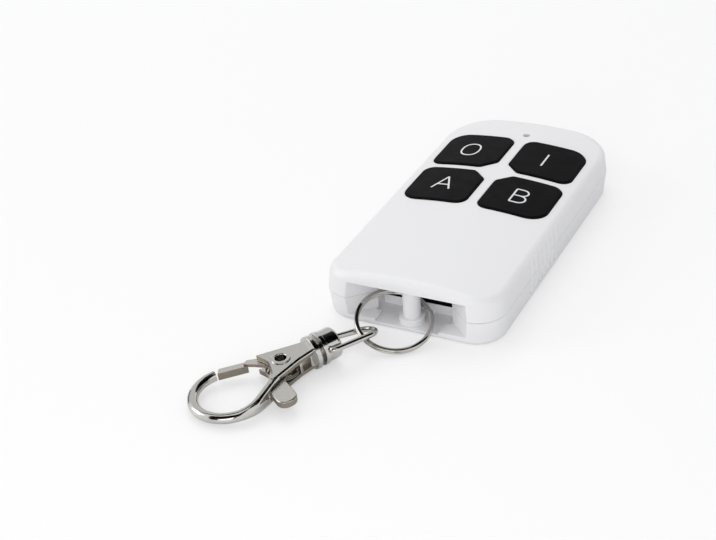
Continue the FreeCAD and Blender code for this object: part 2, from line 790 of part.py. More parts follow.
def biarc(start, start_way, end, end_way):
    """Joins two points with given directions by two arcs that meet in one tangent."""
    chord, ways = end - start, start_way + end_way
    along, spread = chord.dot(ways), 2 * (1 - start_way.dot(end_way))
    reach = (math.sqrt(along**2 + spread * chord.dot(chord)) - along) / spread
    joint = (start + start_way * reach + end - end_way * reach) * 0.5

    def arc(first, way, last):
        line = last - first
        unit = line.normalize()
        span = (last - first).Length
        bulge = way - unit * way.dot(unit)
        angle = way.getAngle(unit)
        lift = bulge.normalize() * (span / 2 * math.tan(angle / 2))
        return Part.Arc(first, (first + last) * 0.5 + lift, last).toShape()

    def back_arc(first, last, way):
        flipped = arc(last, way * -1, first)
        middle = flipped.valueAt((flipped.FirstParameter + flipped.LastParameter) / 2)
        return Part.Arc(first, middle, last).toShape()

    return [arc(start, start_way, joint), back_arc(joint, end, end_way)]


def coil(radius, pitch, turns, section):
    """Winds a section along +Z as one unbroken tube over biarcs of a quarter turn."""
    steps = max(1, round(turns * 4))
    step = turns * math.tau / steps
    rise = pitch / math.tau

    def spot(angle):
        return Vector(radius * math.cos(angle), radius * math.sin(angle), rise * angle)

    def way(angle):
        return Vector(-radius * math.sin(angle), radius * math.cos(angle), rise).normalize()

    edges = []
    for k in range(steps):
        edges += biarc(spot(k * step), way(k * step), spot((k + 1) * step), way((k + 1) * step))
    return Part.Wire(edges).makePipeShell([section], True, False)


def flat_wire_section(half_width, half_height):
    """Makes the ring wire's section: a smooth closed outline, nearly a rectangle."""
    outline = [(1, 0), (0.95, 0.52), (0.75, 0.87), (0.38, 0.99), (0, 1)]
    quarter = [(across * half_width, up * half_height) for across, up in outline]
    top = quarter[:-1] + [(-x, z) for x, z in reversed(quarter[1:])]
    loop = top + [(-x, -z) for x, z in top]
    curve = Part.BSplineCurve()
    curve.interpolate([Vector(size.ring_radius + x, 0, z) for x, z in reversed(loop)], True)
    return Part.Wire(curve.toShape())


def make_ring():
    """The split ring: two flat turns round the post, tilted so that its front lies on the table."""
    pitch = size.ring_wire_height + size.ring_turn_gap
    stack = pitch + size.ring_wire_height
    half_width, half_height = size.ring_wire_width / 2, size.ring_wire_height / 2
    section = flat_wire_section(half_width, half_height)
    wound = coil(size.ring_radius, pitch, size.ring_turns, section)
    tilt = math.radians(size.ring_tilt)
    low = (size.ring_radius + half_width) * math.sin(tilt) + stack / 2 * math.cos(tilt)
    heading = math.radians(size.ring_heading)
    middle = Vector(
        size.ring_lead * math.cos(heading),
        -size.case_length / 2 + size.post_setback + size.ring_lead * math.sin(heading),
        low + size.rest_gap,
    )
    axis_heading = math.radians(size.ring_tilt_heading + 90)
    lean = Rotation(Vector(math.cos(axis_heading), math.sin(axis_heading), 0), size.ring_tilt)
    ring = doc.addObject("Part::Feature", "ring")
    ring.Shape = wound
    half_rise = Vector(0, 0, -size.ring_turns * pitch / 2)
    half_stack = Placement(half_rise, Rotation(Vector(0, 0, 1), size.ring_end_heading))
    ring.Placement = Placement(middle, lean) * half_stack
    as_node(ring, "split_ring")
    print("split ring: gap between turns", round(pitch - size.ring_wire_height, 3), "mm")


def snap_frames():
    """Gives the places of the snap's body, of its ferrule and of its bail."""
    heading = Rotation(Vector(0, 0, 1), size.snap_heading) * Rotation(Vector(0, 1, 0), size.snap_pitch)
    height = size.collar_radius * math.cos(math.radians(size.snap_pitch)) + size.rest_gap
    height += size.collar_thickness * math.sin(math.radians(size.snap_pitch))
    origin = Vector(size.snap_across, -size.case_length / 2 - size.snap_ahead, height)
    body = Placement(origin, heading)
    ferrule = Placement(origin, heading * Rotation(Vector(1, 0, 0), size.ferrule_roll))
    pin = Vector(-(size.neck_gap + size.ferrule_length - size.bail_pin_inset), 0, 0)
    bail = ferrule * Placement(pin, Rotation(Vector(0, 1, 0), size.bail_pitch))
    return body, ferrule, bail


def make_ferrule(frame):
    """The barrel that turns on the neck's head and carries the bail in two side holes."""
    back = f"({COLLAR_FACE} - ferrule_length)"
    collar_back = f"({COLLAR_FACE} - collar_thickness)"
    bore = "(neck_radius + turning_gap)"
    room = "(neck_head_radius + turning_gap)"
    room_front = f"({COLLAR_FACE} - collar_thickness + turning_gap)"
    room_back = f"({COLLAR_FACE} - collar_thickness - neck_head_thickness - turning_gap)"
    points = [
        (back, "0"), (back, "ferrule_radius"),
        (collar_back, "ferrule_radius"), (collar_back, "collar_radius"),
        (COLLAR_FACE, "collar_radius"), (COLLAR_FACE, bore),
        (room_front, bore), (room_front, room),
        (room_back, room), (room_back, "0"),
    ]
    barrel = turned("barrel", points)
    outer_back = -size.neck_gap - size.ferrule_length

    def outer_rim(edge):
        box = edge.BoundBox
        return abs(box.XMax - outer_back) < 0.01 and box.YMax > size.ferrule_radius - 0.1

    def collar_rims(edge):
        return edge.BoundBox.YMax > size.collar_radius - 0.01 and edge.BoundBox.XLength < 0.01

    barrel = soften("barrel_rounded", barrel, size.ferrule_round, outer_rim)
    barrel = soften("barrel_collar", barrel, size.collar_round, collar_rims)
    holes = []
    place = f"({COLLAR_FACE} - ferrule_length + bail_pin_inset)"
    for side, sign in SIDES.items():
        hole = doc.addObject("Part::Cylinder", "pin_hole_" + side)
        hole.Placement = Placement(Vector(), Rotation(Vector(1, 0, 0), -90 * sign))
        bind(hole, Radius="bail_wire_radius + turning_gap", Height="ferrule_radius")
        holes.append(put(hole, place, f"{sign}*(ferrule_radius - bail_pin_depth - turning_gap)"))
    piece = cut("ferrule_piece", barrel, holes)
    piece.Placement = frame
    as_node(piece, "ferrule")


def make_bail(frame):
    """A wire loop: two pins in the ferrule, two legs that close in, and a round end."""
    leg = size.ferrule_radius + size.bail_side_gap + size.bail_wire_radius
    inner = size.ferrule_radius - size.bail_pin_depth
    end = size.bail_half_width
    turn = Vector(-(size.bail_reach - end - size.bail_wire_radius), end, 0)
    slope = math.atan2(leg - end, -turn.x)
    bend = size.bail_bend
    tangent = bend * math.tan((math.pi / 2 + slope) / 2)
    start = Vector(0, inner, 0)
    corner = Vector(0, leg, 0)
    down_leg = Vector(-math.cos(slope), -math.sin(slope), 0)
    pin_end = corner - Vector(0, tangent, 0)
    leg_start = corner + down_leg * tangent
    centre = pin_end + Vector(-bend, 0, 0)
    half_way = (pin_end - centre + leg_start - centre).normalize() * bend
    end_radius = end / math.cos(slope)
    end_centre = turn + Vector(-math.sin(slope), -math.cos(slope), 0) * end_radius
    end_centre.y = 0
    touch = end_centre + Vector(-math.sin(slope), math.cos(slope), 0) * end_radius

    def mirrored(point):
        return Vector(point.x, -point.y, point.z)

    edges = [
        Part.LineSegment(start, pin_end).toShape(),
        Part.Arc(pin_end, centre + half_way, leg_start).toShape(),
        Part.LineSegment(leg_start, touch).toShape(),
        Part.Arc(touch, end_centre + Vector(-end_radius, 0, 0), mirrored(touch)).toShape(),
        Part.LineSegment(mirrored(touch), mirrored(leg_start)).toShape(),
        Part.Arc(mirrored(leg_start), mirrored(centre + half_way), mirrored(pin_end)).toShape(),
        Part.LineSegment(mirrored(pin_end), mirrored(start)).toShape(),
    ]
    section = Part.Wire(Part.makeCircle(size.bail_wire_radius, start, Vector(0, 1, 0)))
    bail = doc.addObject("Part::Feature", "bail_wire")
    bail.Shape = Part.Wire(edges).makePipeShell([section], True, False)
    bail.Placement = frame
    as_node(bail, "bail")


def bar_section(spot, way, half_width, half_height, power):
    """Makes a closed section across a path: 2 gives an ellipse, more a rounded rectangle."""
    up = Vector(0, 0, 1)
    side = up.cross(way)
    points = []
    for k in range(24):
        c, s = math.cos(k * math.tau / 24), math.sin(k * math.tau / 24)
        across = math.copysign(abs(c) ** (2 / power), c) * half_width
        points.append(spot + side * across + up * (math.copysign(abs(s) ** (2 / power), s) * half_height))
    curve = Part.BSplineCurve()
    curve.interpolate(points, True)
    return Part.Wire(curve.toShape())


def hook_shape():
    """The arm and hook: one swept bar, tall and square at the cheeks and round at the hook."""
    centre, radius = Vector(size.hook_centre, 0, 0), size.hook_radius
    lean = math.radians(size.arm_angle)
    arm_way = Vector(math.cos(lean), math.sin(lean), 0)

    def on_hook(angle):
        return centre + Vector(math.cos(angle), math.sin(angle), 0) * radius

    joint, round_angle = lean + math.pi / 2, math.radians(size.hook_round_angle)
    tip_angle = -math.radians(size.hook_tip_angle)
    start = on_hook(joint) - arm_way * size.arm_length
    round_way = Vector(math.sin(round_angle), -math.cos(round_angle), 0)
    rod_radius = size.hook_rod_radius
    tall = bar_section(start, arm_way, size.arm_half_width, size.cheek_half_height, 5)
    rounded = bar_section(on_hook(round_angle), round_way, rod_radius, rod_radius, 2)
    bend = Part.Arc(on_hook(joint), on_hook((joint + round_angle) / 2), on_hook(round_angle))
    spine = Part.Wire([Part.LineSegment(start, on_hook(joint)).toShape(), bend.toShape()])
    arm = Part.BRepOffsetAPI.MakePipeShell(spine)
    arm.add(tall)
    arm.add(rounded)
    arm.build()
    arm.makeSolid()
    halfway = on_hook((tip_angle + round_angle) / 2)
    loop = Part.Wire(Part.Arc(on_hook(round_angle), halfway, on_hook(tip_angle)).toShape())
    hook = loop.makePipeShell([rounded], True, False)
    return arm.shape().fuse(hook)


def make_clasp_body(frame):
    """The cast body: neck with head and collar, two cheeks with a slot between, arm and hook."""
    root = "collar_thickness/2"
    points = [
        (root, "-cheek_root_far"), ("cheek_end", "-cheek_end_across"),
        ("cheek_scoop", "-cheek_scoop_across"), ("cheek_throat", "cheek_throat_across"),
        ("cheek_throat + 1.2", "cheek_throat_across + 1.1"),
        ("cheek_shoulder + 1", "cheek_shoulder_across + 0.3"),
        ("cheek_shoulder", "cheek_shoulder_across"), ("cheek_bend", "cheek_bend_across"),
        (root, "cheek_root_near"),
    ]
    cheeks = slab("cheeks", points, "-cheek_half_height", "2*cheek_half_height")
    round_corners(cheeks, [(size.cheek_scoop, -size.cheek_scoop_across)], "cheek_scoop_round")
    round_corners(cheeks, [(size.cheek_throat, size.cheek_throat_across)], "cheek_throat_round")
    limit = size.cheek_half_height - 0.01

    def near_rim(edge):
        box = edge.BoundBox
        return (box.ZMin > limit or box.ZMax < -limit) and box.YMin > size.cheek_root_near - 0.01 and (
            box.XMax < size.cheek_shoulder + 0.01
        )

    cheeks = soften("cheeks_near", cheeks, size.cheek_near_round, near_rim)
    hook = doc.addObject("Part::Feature", "hook_bar")
    hook.Shape = hook_shape()
    gap = "cheek_half_height - cheek_thickness"
    slot = block(
        "lever_slot", ("cheek_start", "slot_end"), ("-2*cheek_end_across", "2*cheek_shoulder_across"),
        (f"-({gap})", gap),
    )
    under, over = "-2*cheek_half_height", "2*cheek_half_height"
    eye = rod("rivet_eye", "pivot_place", "0", under, over, "rivet_radius + rivet_gap")
    disc = lying_rod("collar", "0", "collar_thickness", "collar_radius")
    collar = soften(
        "collar_rounded", disc, size.collar_round, lambda edge: edge.BoundBox.XLength < 0.01
    )
    head_front = f"({COLLAR_FACE} - collar_thickness)"
    turned_parts = [
        collar,
        lying_rod("neck", f"{head_front} - neck_head_thickness", "collar_thickness/2", "neck_radius"),
        lying_rod("neck_head", f"{head_front} - neck_head_thickness", head_front, "neck_head_radius"),
    ]
    solid = fuse("cast_solid", [fuse("turned_root", [cheeks] + turned_parts), hook])
    piece = cut("clasp_piece", solid, [slot, eye])
    piece.Placement = frame
    as_node(piece, "clasp_body")


def make_gate(frame):
    """The lever: gate bar, thin link, hub and thumb tab."""
    tip = ("bar_tip", "-bar_tip_across")
    outer_tip = ("bar_outer_tip", "-bar_outer_tip_across")
    heel = ("bar_heel", "-bar_heel_across")
    outer_heel = ("bar_outer_heel", "-bar_outer_heel_across")
    bar = slab("gate_bar", [tip, heel, outer_heel, outer_tip], "-lever_half_height", "bar_thickness")
    link = slab(
        "gate_link",
        [
            ("pivot_place - hub_radius/2", "-hub_radius/2"), ("link_outer", "-link_outer_across"),
            outer_heel, ("bar_heel + 0.5", "-(bar_heel_across + bar_outer_heel_across)/2"), heel,
            ("link_inner", "-link_inner_across"), ("pivot_place + hub_radius*0.7", "-hub_radius/4"),
            ("tab_left", "tab_base + 0.3"), ("tab_right", "tab_base + 0.3"),
            ("pivot_place - hub_radius/2", "hub_radius/2"),
        ],
        "lever_half_height - link_thickness", "link_thickness",
    )
    tab = slab(
        "thumb_tab",
        [
            ("tab_right", "tab_base"), ("tab_left", "tab_base"),
            ("tab_left + tab_lean", "tab_reach"), ("tab_right + tab_lean", "tab_reach"),
        ],
        "lever_half_height - tab_thickness", "tab_thickness",
    )
    ends = [(x + size.tab_lean, size.tab_reach) for x in (size.tab_right, size.tab_left)]
    round_corners(tab, ends, "tab_end_round")
    tab_top = size.lever_half_height - 0.01
    tab_low = size.lever_half_height - size.tab_thickness + 0.01

    def thumb_rim(edge):
        box = edge.BoundBox
        return (box.ZMin > tab_top or box.ZMax < tab_low) and box.YMax > size.tab_base + 0.1

    tab = soften("tab_rounded", tab, size.tab_round, thumb_rim)
    hub = rod("hub", "pivot_place", "0", "-lever_half_height", "lever_half_height", "hub_radius")
    eye = rod("lever_eye", "pivot_place", "0", "-2", "2", "rivet_radius + turning_gap")
    piece = cut("gate_piece", fuse("gate_solid", [bar, link, tab, hub]), [eye])
    piece.Placement = frame
    as_node(piece, "gate")


def make_rivet_and_spring(frame):
    """The tubular rivet with its two rims, and the torsion spring round the lever's hub."""
    face, rim = "cheek_half_height", "cheek_half_height + rivet_rim_height"
    rims = [
        rod("rivet_tube", "pivot_place", "0", f"-{face}", face, "rivet_radius"),
        rod("rivet_top_rim", "pivot_place", "0", face, rim, "rivet_rim_radius"),
        rod("rivet_low_rim", "pivot_place", "0", f"-({rim})", f"-{face}", "rivet_rim_radius"),
    ]
    bore = rod("rivet_hole", "pivot_place", "0", f"-2*{face}", f"2*{face}", "rivet_bore")
    tube = cut("rivet_shell", fuse("rivet_solid", rims), [bore])
    outside = size.cheek_half_height + size.rivet_rim_height - 0.01

    def at_mouth(edge):
        box = edge.BoundBox
        return (box.ZMin > outside or box.ZMax < -outside) and box.XLength < 2 * size.rivet_radius

    def at_rim(edge):
        box = edge.BoundBox
        return (box.ZMin > outside or box.ZMax < -outside) and box.XLength > 2 * size.rivet_radius

    flared = soften("rivet_flared", tube, size.rivet_mouth_round, at_mouth)
    rivet = soften("rivet", flared, size.rivet_rim_round, at_rim)
    rivet.Placement = frame
    as_node(rivet, "gate_rivet")
    radius, wire = size.spring_radius, size.spring_wire / 2
    section = Part.Wire(Part.makeCircle(wire, Vector(radius, 0, 0), Vector(0, 1, 0)))
    spring = doc.addObject("Part::Feature", "spring")
    spring.Shape = coil(radius, size.spring_pitch, size.spring_turns, section)
    height = size.cheek_thickness - size.cheek_half_height + size.spring_lift + wire
    spring.Placement = frame * Placement(Vector(size.pivot_place, 0, height), Rotation())
    as_node(spring, "gate_spring")
    print("gate spring: gap between curls", round(size.spring_pitch - size.spring_wire, 3), "mm")


def check_all():
    """Stops if any object failed or any piece is not one valid solid group."""
    doc.recompute()
    for thing in doc.Objects:
        if {"Invalid", "Error"} & set(thing.State):
            raise RuntimeError(f"{thing.Name} is {thing.State}")
    for piece in nodes:
        shape = piece.Shape
        if shape.isNull() or not shape.isValid() or not shape.Solids:
            raise RuntimeError(f"{piece.Label} has no valid solid")


make_top_cover()
make_bottom_cover()
make_screws()
make_keys()
make_web()
make_board()
make_switches()
make_board_parts()
make_battery()
make_ring()
body_frame, ferrule_frame, bail_frame = snap_frames()
make_ferrule(ferrule_frame)
make_bail(bail_frame)
make_clasp_body(body_frame)
make_gate(body_frame)
make_rivet_and_spring(body_frame)
check_all()

os.makedirs("parts", exist_ok=True)
for piece in nodes:
    piece.Shape.exportStep(f"parts/{piece.Label}.step")
    print(f"{piece.Label}: {len(piece.Shape.Solids)} solid(s), {piece.Shape.Volume:.2f} mm3")
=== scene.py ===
"""Looks of a key-fob remote control with a split ring and a trigger snap, lying on a pale table."""

from __future__ import annotations

import logging
import math
from collections.abc import Callable
from dataclasses import dataclass, field
from enum import Enum

import bmesh
import bpy
from mathutils import Matrix, Vector


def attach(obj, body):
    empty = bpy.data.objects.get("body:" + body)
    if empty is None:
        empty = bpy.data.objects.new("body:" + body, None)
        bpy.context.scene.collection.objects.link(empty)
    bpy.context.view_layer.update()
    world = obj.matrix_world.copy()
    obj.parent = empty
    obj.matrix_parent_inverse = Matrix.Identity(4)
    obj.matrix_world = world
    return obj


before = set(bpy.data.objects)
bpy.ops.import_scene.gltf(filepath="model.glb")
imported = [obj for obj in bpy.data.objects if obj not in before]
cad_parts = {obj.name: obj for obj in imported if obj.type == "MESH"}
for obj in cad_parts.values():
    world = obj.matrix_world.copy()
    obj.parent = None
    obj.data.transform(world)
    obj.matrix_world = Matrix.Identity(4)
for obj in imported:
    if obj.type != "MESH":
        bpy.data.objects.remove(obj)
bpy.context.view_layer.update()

LOG = logging.getLogger("scene")
MM = 0.001
WHITE = (1.0, 1.0, 1.0, 1.0)
DARK_CARD = "040404"
SHARP_EDGE_DEGREES = 28.0

# The sRGB standard's own curve.
SRGB_KNEE = 0.04045
SRGB_SLOPE = 12.92
SRGB_OFFSET = 0.055
SRGB_SCALE = 1.055
SRGB_POWER = 2.4

Point = tuple[float, float]
Line = list[Point]
Place = tuple[float, float, float]


class Finish(Enum):
    """Names of the finishes used on the object."""

    WHITE_SHELL = "white_shell"
    # A near-black colour for the covers' inner faces, as painted shade for the unlit inside of the case.
    PAINTED_SHADE_INSIDE = "painted_shade_inside"
    BLACK_SILICONE = "black_silicone"
    LEGEND = "legend_print"
    BRIGHT_NICKEL = "bright_nickel"
    SATIN_NICKEL = "satin_nickel"
    # Rough cast plate whose darker colour is painted shade on the snap's side walls.
    CAST_NICKEL_WITH_PAINTED_SHADE = "cast_nickel_with_painted_shade"
    RING_STEEL = "ring_steel"
    SPRING_STEEL = "spring_steel"
    SCREW_ZINC = "screw_zinc"
    BOARD = "board_green"
    CHIP = "chip_black"
    CREAM = "plunger_cream"
    LAMP = "lamp_red"
    TINNED = "tinned_copper"
    TRACK = "masked_track"


def linear(hex_colour: str) -> tuple[float, float, float, float]:
    """Turns an sRGB hex colour into linear RGBA.

    Args:
        hex_colour: six hex digits, such as "E8E8EA".

    Returns:
        Linear red, green, blue and 1.0.
    """
    parts = [int(hex_colour[k : k + 2], 16) / 255 for k in (0, 2, 4)]
    values = [
        part / SRGB_SLOPE if part <= SRGB_KNEE else ((part + SRGB_OFFSET) / SRGB_SCALE) ** SRGB_POWER
        for part in parts
    ]
    return (*values, 1.0)


def add_node(
    tree: bpy.types.NodeTree, kind: str, inputs: dict | None = None, **settings: object
) -> bpy.types.Node:
    """Adds a node, sets its properties and fills or links its inputs.

    Args:
        tree: the node tree to add to.
        kind: the node's type name.
        inputs: input name or index to a value, or to an output socket to link.
        settings: node properties.

    Returns:
        The new node.
    """
    made = tree.nodes.new(kind)
    for name, value in settings.items():
        setattr(made, name, value)
    for name, value in (inputs or {}).items():
        if isinstance(value, bpy.types.NodeSocket):
            tree.links.new(value, made.inputs[name])
        else:
            made.inputs[name].default_value = value
    return made


def add_object(name: str, data: bpy.types.ID) -> bpy.types.Object:
    """Makes an object and links it to the scene.

    Args:
        name: its name.
        data: its mesh, lamp or camera.

    Returns:
        The new object.
    """
    made = bpy.data.objects.new(name, data)
    bpy.context.scene.collection.objects.link(made)
    return made


def rectangle(name: str, half_width: float, half_height: float) -> bpy.types.Mesh:
    """Makes a flat mesh of one face about the origin.

    Args:
        name: the mesh's name.
        half_width: half its size along X, in metres.
        half_height: half its size along Y, in metres.

    Returns:
        The mesh.
    """
    mesh = bpy.data.meshes.new(name)
    x, y = half_width, half_height
    mesh.from_pydata([(-x, -y, 0), (x, -y, 0), (x, y, 0), (-x, y, 0)], [], [(0, 1, 2, 3)])
    return mesh


def direction(turn: float, rise: float) -> Vector:
    """Gives a direction as seen from the table.

    Args:
        turn: degrees round the table, 0 at -Y and growing towards +X.
        rise: degrees above the table.

    Returns:
        A vector of length 1.
    """
    around, up = math.radians(turn), math.radians(rise)
    return Vector((math.sin(around) * math.cos(up), -math.cos(around) * math.cos(up), math.sin(up)))


@dataclass(frozen=True)
class Surface:
    """One procedural finish.

    Sizes are in millimetres. grain_size and grain_depth describe a fine texture, wave_size and
    wave_depth the slow unevenness of a casting or moulding, and smudge how much the roughness
    varies over patches of smudge_size; smudge_harshness is how broken these patches are and
    smudge_range the part of their noise that counts. Each detail is a noise's octaves.
    subsurface is the share of light that goes into the material, down to subsurface_depth.
    """

    colour: str
    roughness: float
    metallic: float = 0.0
    specular: float = 0.5
    grain_size: float = 0.0
    grain_depth: float = 0.0
    grain_detail: float = 3.0
    wave_size: float = 0.0
    wave_depth: float = 0.0
    wave_detail: float = 1.0
    smudge: float = 0.0
    smudge_size: float = 6.0
    smudge_detail: float = 4.0
    smudge_harshness: float = 0.6
    smudge_range: Point = (0.3, 0.7)
    subsurface: float = 0.0
    subsurface_depth: float = 0.8
    subsurface_reach: Place = (1.0, 0.9, 0.8)
    coat: float = 0.0
    coat_roughness: float = 0.08

    def build(self, name: str) -> bpy.types.Material:
        """Builds the material.

        Args:
            name: the material's name.

        Returns:
            The material, with all textures in object coordinates.
        """
        material = bpy.data.materials.new(name)
        material.use_nodes = True
        tree = material.node_tree
        shader = tree.nodes["Principled BSDF"]
        values = {
            "Base Color": linear(self.colour),
            "Roughness": self.roughness,
            "Metallic": self.metallic,
            "Specular IOR Level": self.specular,
            "Coat Weight": self.coat,
            "Coat Roughness": self.coat_roughness,
        }
        if self.subsurface:
            values["Subsurface Weight"] = self.subsurface
            values["Subsurface Scale"] = self.subsurface_depth * MM
            values["Subsurface Radius"] = self.subsurface_reach
        for socket, value in values.items():
            shader.inputs[socket].default_value = value
        place = add_node(tree, "ShaderNodeTexCoord").outputs["Object"]
        self.add_relief(tree, shader, place)
        if self.smudge:
            self.add_smudges(tree, shader, place)
        return material

    def add_relief(
        self, tree: bpy.types.NodeTree, shader: bpy.types.Node, place: bpy.types.NodeSocket
    ) -> None:
        """Adds the slow waves and then the fine grain as bumps.

        Args:
            tree: the material's nodes.
            shader: the shader that gets the bumps.
            place: the texture coordinates.
        """
        normal = None
        for size, depth, detail in (
            (self.wave_size, self.wave_depth, self.wave_detail),
            (self.grain_size, self.grain_depth, self.grain_detail),
        ):
            if not depth:
                continue
            noise = add_node(
                tree, "ShaderNodeTexNoise", {"Vector": place, "Scale": 1.0 / (size * MM), "Detail": detail}
            )
            bump = add_node(
                tree, "ShaderNodeBump",
                {"Strength": 1.0, "Distance": depth * MM, "Height": noise.outputs["Fac"]},
            )
            if normal is not None:
                tree.links.new(normal, bump.inputs["Normal"])
            normal = bump.outputs["Normal"]
        if normal is not None:
            tree.links.new(normal, shader.inputs["Normal"])

    def add_smudges(
        self, tree: bpy.types.NodeTree, shader: bpy.types.Node, place: bpy.types.NodeSocket
    ) -> None:
        """Lets the roughness vary in patches.

        Args:
            tree: the material's nodes.
            shader: the shader whose roughness varies.
            place: the texture coordinates.
        """
        noise = add_node(
            tree, "ShaderNodeTexNoise",
            {
                "Vector": place, "Scale": 1.0 / (self.smudge_size * MM),
                "Detail": self.smudge_detail, "Roughness": self.smudge_harshness,
            },
        )
        least, most = self.smudge_range
        spread = add_node(
            tree, "ShaderNodeMapRange",
            {
                "Value": noise.outputs["Fac"], "From Min": least, "From Max": most,
                "To Min": self.roughness - self.smudge, "To Max": self.roughness + self.smudge,
            },
        )
        tree.links.new(spread.outputs["Result"], shader.inputs["Roughness"])


SURFACES = {
    # Injection-moulded white plastic with a fine spark-eroded grain.
    Finish.WHITE_SHELL: Surface(
        "E4E4E6", 0.42, grain_size=0.16, grain_depth=0.006, wave_size=9.0, wave_depth=0.01,
        smudge=0.03, subsurface=0.06,
    ),
    # The inner faces of the covers, coloured near black as painted shade, so that the slot behind the bay
    # looks black.
    Finish.PAINTED_SHADE_INSIDE: Surface("0C0C0D", 0.7, specular=0.1, grain_size=0.3, grain_depth=0.01),
    # Black silicone rubber keys, dull with a slight sheen.
    Finish.BLACK_SILICONE: Surface(
        "080809", 0.55, specular=0.06, grain_size=0.12, grain_depth=0.004, smudge=0.05, smudge_size=3.0,
    ),
    # Pale grey pad-printed legends.
    Finish.LEGEND: Surface("DCDDDF", 0.6, specular=0.3),
    # Bright nickel plate over a zinc casting.
    Finish.BRIGHT_NICKEL: Surface(
        "C9C7C3", 0.12, metallic=1.0, wave_size=2.2, wave_depth=0.02, grain_size=0.2,
        grain_depth=0.0012, smudge=0.03, smudge_size=2.0,
    ),
    # The same plate over the rougher stamped lever.
    Finish.SATIN_NICKEL: Surface(
        "CBC8C2", 0.26, metallic=1.0, grain_size=0.14, grain_depth=0.008, smudge=0.05, smudge_size=1.5,
    ),
    # Thin plate over the side walls and recesses, left as they were cast: rougher and grainier, and darker
    # in colour as painted shade on the walls that face sideways.
    Finish.CAST_NICKEL_WITH_PAINTED_SHADE: Surface(
        "958D82", 0.42, metallic=1.0, grain_size=0.3, grain_depth=0.05, smudge=0.08, smudge_size=0.8,
    ),
    # Nickel-plated flat spring wire.
    Finish.RING_STEEL: Surface(
        "CDCAC5", 0.1, metallic=1.0, grain_size=0.3, grain_depth=0.002, smudge=0.04,
    ),
    # Drawn spring wire and stamped contact strip.
    Finish.SPRING_STEEL: Surface("8F8C86", 0.3, metallic=1.0),
    # Zinc-plated screws, cell can and resonator can.
    Finish.SCREW_ZINC: Surface("A9A9A8", 0.28, metallic=1.0, smudge=0.05, smudge_size=1.0),
    # Green solder mask over glass epoxy.
    Finish.BOARD: Surface("1F5A33", 0.35, grain_size=0.5, grain_depth=0.01, coat=0.3),
    # Black moulded epoxy and switch housings.
    Finish.CHIP: Surface("1C1C1D", 0.5, grain_size=0.08, grain_depth=0.004),
    # Cream switch plungers.
    Finish.CREAM: Surface("D9D2BC", 0.45),
    # Tinned copper legs.
    Finish.TINNED: Surface("B4B4B0", 0.35, metallic=1.0, smudge=0.08, smudge_size=0.6),
    # Copper track under the solder mask.
    Finish.TRACK: Surface("2F7A45", 0.35, grain_size=0.5, grain_depth=0.006, coat=0.3),
    # Red epoxy lens, dark when off.
    Finish.LAMP: Surface("5A1414", 0.2, coat=0.5),
}

KEY_NAMES = ("off", "on", "a", "b")

CAD_FINISHES = {
    "top_cover": Finish.WHITE_SHELL,
    "bottom_cover": Finish.WHITE_SHELL,
    "case_screws": Finish.SCREW_ZINC,
    "keypad_web": Finish.BLACK_SILICONE,
    "circuit_board": Finish.BOARD,
    "status_led": Finish.LAMP,
    "encoder_chip": Finish.CHIP,
    "saw_resonator": Finish.SCREW_ZINC,
    "coin_cell": Finish.SCREW_ZINC,
    "battery_clip": Finish.SPRING_STEEL,
    "battery_leaf": Finish.SPRING_STEEL,
    "split_ring": Finish.RING_STEEL,
    "bail": Finish.BRIGHT_NICKEL,
    "ferrule": Finish.BRIGHT_NICKEL,
    "clasp_body": Finish.BRIGHT_NICKEL,
    "gate": Finish.SATIN_NICKEL,
    "gate_rivet": Finish.BRIGHT_NICKEL,
    "gate_spring": Finish.SPRING_STEEL,
    **{"key_" + key: Finish.BLACK_SILICONE for key in KEY_NAMES},
    **{"switch_base_" + key: Finish.CHIP for key in KEY_NAMES},
    **{"switch_plunger_" + key: Finish.CREAM for key in KEY_NAMES},
}


class Paintbox:
    """Builds each finish once and hands it out."""

    def __init__(self) -> None:
        """Starts with no material built."""
        self._made: dict[Finish, bpy.types.Material] = {}

    def get(self, finish: Finish) -> bpy.types.Material:
        """Gives the material of a finish.

        Args:
            finish: which finish.

        Returns:
            Its material.
        """
        if finish not in self._made:
            self._made[finish] = SURFACES[finish].build(finish.value)
        return self._made[finish]

    def paint(self, thing: bpy.types.Object, finish: Finish) -> None:
        """Gives a mesh object one finish all over."""
        thing.data.materials.clear()
        thing.data.materials.append(self.get(finish))

    def paint_faces(self, node: str, finish: Finish, chosen: Callable[[Vector, Vector], bool]) -> None:
        """Gives some faces of a CAD node a second finish.

        Args:
            node: the node's name.
            finish: which finish.
            chosen: tells, from a face's middle in millimetres and its normal, whether it is one.
        """
        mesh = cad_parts[node].data
        mesh.materials.append(self.get(finish))
        slot = len(mesh.materials) - 1
        count = 0
        for face in mesh.polygons:
            if chosen(face.center / MM, face.normal):
                face.material_index = slot
                count += 1
        LOG.info("gave %d faces of %s the finish %s", count, node, finish.value)


def smooth_by_angle(thing: bpy.types.Object, degrees: float) -> None:
    """Shades a mesh smooth except over edges sharper than an angle.

    Args:
        thing: a mesh object.
        degrees: the angle from which an edge stays sharp.
    """
    mesh = thing.data
    mesh.shade_smooth()
    built = bmesh.new()
    built.from_mesh(mesh)
    limit = math.radians(degrees)
    for edge in built.edges:
        edge.smooth = len(edge.link_faces) == 2 and edge.calc_face_angle(0.0) < limit
    built.to_mesh(mesh)
    built.free()


